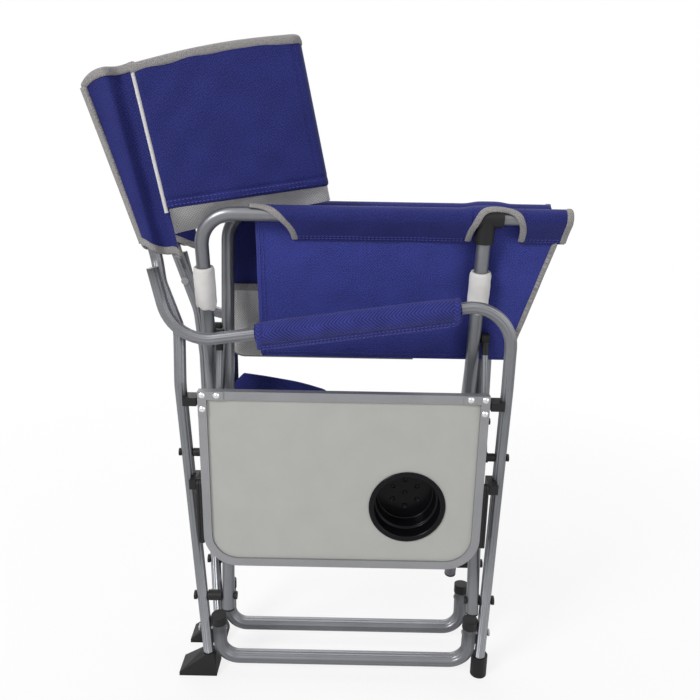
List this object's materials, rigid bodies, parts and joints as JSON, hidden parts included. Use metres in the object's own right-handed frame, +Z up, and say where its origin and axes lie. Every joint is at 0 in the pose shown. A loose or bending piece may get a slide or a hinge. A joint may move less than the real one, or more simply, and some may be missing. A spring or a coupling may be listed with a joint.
{
  "type": "folding director chair",
  "caption": "Folding director chair with scissor legs, padded armrests, cloth seat and back, a hanging side table with cup holder and a storage pouch, standing folded.",
  "frame": {"origin": "middle of the folded chair's outline on the floor", "axes": "+Z up, +X towards the chair's front, -Y towards the side table"},
  "size_m": [0.6458, 0.194, 0.9547],
  "materials": {
    "tube_grey": "satin grey anodised",
    "black_plastic": "moulded matte",
    "blue_cloth": "woven polyester",
    "grey_mesh": "open mesh",
    "white_foam": "soft foam",
    "table_grey": "satin",
    "table_board": "matte laminate",
    "bright_metal": "bright"
  },
  "bodies": {
    "near_frame": {"near_arm_tube": "tube_grey", "near_rear_leg": "tube_grey", "near_stretcher": "tube_grey", "near_stretcher_caps": "black_plastic", "near_rear_foot": "black_plastic", "near_front_foot": "black_plastic", "near_arm_pad": "blue_cloth", "near_pivot_bolts": "black_plastic", "near_spacers": "black_plastic", "near_link_pins": "black_plastic", "near_rivets": "bright_metal", "table_hinges": "black_plastic", "brace_brackets": "black_plastic"},
    "scissor_a": {"seat_tube_a": "tube_grey", "front_tube_a": "tube_grey", "elbow_a": "black_plastic", "end_caps_a": "black_plastic", "seat_sleeve_a": "blue_cloth", "cross_bolts": "black_plastic"},
    "scissor_b": {"seat_tube_b": "tube_grey", "front_tube_b": "tube_grey", "elbow_b": "black_plastic", "end_caps_b": "black_plastic", "seat_sleeve_b": "blue_cloth", "foam_sleeves": "white_foam"},
    "far_frame": {"far_arm_tube": "tube_grey", "far_rear_leg": "tube_grey", "far_stretcher": "tube_grey", "far_stretcher_caps": "black_plastic", "far_rear_foot": "black_plastic", "far_front_foot": "black_plastic", "far_arm_pad": "blue_cloth", "far_pivot_bolts": "black_plastic", "far_spacers": "black_plastic", "far_link_pins": "black_plastic", "far_rivets": "bright_metal"},
    "near_link": {"near_links": "tube_grey", "near_link_ends": "black_plastic"},
    "far_link": {"far_links": "tube_grey", "far_link_ends": "black_plastic"},
    "seat_near": {"seat_panel_near": "blue_cloth", "seat_flap_near": "blue_cloth"},
    "seat_far": {"seat_panel_far": "blue_cloth", "seat_flap_far": "blue_cloth"},
    "seat_mid_near": {"seat_middle_near": "blue_cloth"},
    "seat_mid_far": {"seat_middle_far": "blue_cloth"},
    "pouch": {"pouch_sheet": "blue_cloth", "pouch_pocket": "grey_mesh"},
    "back_near": {"back_panel_near": "blue_cloth", "back_sleeve_near": "blue_cloth"},
    "back_far": {"back_panel_far": "blue_cloth"},
    "back_sleeve": {"back_sleeve_far": "blue_cloth"},
    "table": {"table_frame": "table_grey", "table_panel": "table_board", "table_brackets": "bright_metal", "table_rivets": "bright_metal", "cup_holder": "black_plastic"},
    "brace_leg": {"brace_leg_links": "black_plastic"},
    "brace_table": {"brace_table_links": "black_plastic"}
  },
  "joints": [
    {"name": "fold", "type": "hinge", "parent": "near_frame", "child": "scissor_a", "pos_m": [0.04, -0.05, 0.145], "axis": [-1, 0, 0], "range_deg": [0, 48]},
    {"name": "cross_pivot", "type": "hinge", "parent": "scissor_a", "child": "scissor_b", "pos_m": [0.04, 0, 0.43827], "axis": [-1, 0, 0], "range_deg": [-96.01, 0]},
    {"name": "far_pivot", "type": "hinge", "parent": "scissor_b", "child": "far_frame", "pos_m": [0.04, 0.05, 0.145], "axis": [-1, 0, 0], "range_deg": [0, 48.01]},
    {"name": "near_link_pivot", "type": "hinge", "parent": "near_frame", "child": "near_link", "pos_m": [0.04, -0.0698, 0.396], "axis": [-1, 0, 0], "range_deg": [0, 82.16]},
    {"name": "far_link_pivot", "type": "hinge", "parent": "far_frame", "child": "far_link", "pos_m": [0.04, 0.0698, 0.396], "axis": [1, 0, 0], "range_deg": [0, 82.16]},
    {"name": "seat_near_hang", "type": "hinge", "parent": "scissor_b", "child": "seat_near", "pos_m": [0.04, -0.05, 0.73154], "axis": [1, 0, 0], "range_deg": [0, 24.01]},
    {"name": "seat_far_hang", "type": "hinge", "parent": "scissor_a", "child": "seat_far", "pos_m": [0.04, 0.05, 0.73154], "axis": [-1, 0, 0], "range_deg": [0, 24.01]},
    {"name": "seat_near_tuck", "type": "hinge", "parent": "seat_near", "child": "seat_mid_near", "pos_m": [0.04, -0.0038, 0.52496], "axis": [1, 0, 0], "range_deg": [-163.01, 0], "deforming": ["seat_middle_near"]},
    {"name": "seat_far_tuck", "type": "hinge", "parent": "seat_far", "child": "seat_mid_far", "pos_m": [0.04, 0.0038, 0.52496], "axis": [-1, 0, 0], "range_deg": [-163.01, 0], "deforming": ["seat_middle_far"]},
    {"name": "pouch_hang", "type": "hinge", "parent": "scissor_a", "child": "pouch", "pos_m": [0.04, 0.05, 0.73154], "axis": [1, 0, 0], "range_deg": [0, 48.01]},
    {"name": "back_near_turn", "type": "hinge", "parent": "near_frame", "child": "back_near", "pos_m": [-0.232, -0.05, 0.68004], "axis": [-0.2079, 0, 0.9781], "range_deg": [0, 78.54]},
    {"name": "back_crease", "type": "hinge", "parent": "back_near", "child": "back_far", "pos_m": [0.00899, 0, 0.73126], "axis": [-0.2079, 0, 0.9781], "range_deg": [-157.07, 0]},
    {"name": "back_sleeve_turn", "type": "hinge", "parent": "far_frame", "child": "back_sleeve", "pos_m": [-0.232, 0.05, 0.68004], "axis": [-0.2079, 0, 0.9781], "range_deg": [-78.54, 0]},
    {"name": "table", "type": "hinge", "parent": "near_frame", "child": "table", "pos_m": [0.04, -0.086, 0.48], "axis": [-1, 0, 0], "range_deg": [0, 90]},
    {"name": "brace_leg_turn", "type": "hinge", "parent": "near_frame", "child": "brace_leg", "pos_m": [0.04, -0.086, 0.355], "axis": [-1, 0, 0], "range_deg": [0, 135.01]},
    {"name": "brace_table_turn", "type": "hinge", "parent": "table", "child": "brace_table", "pos_m": [0.04, -0.086, 0.355], "axis": [-1, 0, 0], "range_deg": [-135.01, 0]}
  ],
  "couplings": [
    {"joint": "cross_pivot", "follows": "fold", "ratio": -2},
    {"joint": "far_pivot", "follows": "fold", "ratio": 1},
    {"joint": "near_link_pivot", "follows": "fold", "ratio": 1.7115},
    {"joint": "far_link_pivot", "follows": "fold", "ratio": 1.7115},
    {"joint": "seat_near_hang", "follows": "fold", "ratio": 0.5},
    {"joint": "seat_far_hang", "follows": "fold", "ratio": 0.5},
    {"joint": "seat_near_tuck", "follows": "fold", "ratio": -3.3958},
    {"joint": "seat_far_tuck", "follows": "fold", "ratio": -3.3958},
    {"joint": "pouch_hang", "follows": "fold", "ratio": 1},
    {"joint": "back_near_turn", "follows": "fold", "ratio": 1.636},
    {"joint": "back_crease", "follows": "fold", "ratio": -3.272},
    {"joint": "back_sleeve_turn", "follows": "fold", "ratio": -1.636},
    {"joint": "brace_leg_turn", "follows": "table", "ratio": 1.5},
    {"joint": "brace_table_turn", "follows": "table", "ratio": -1.5}
  ]
}
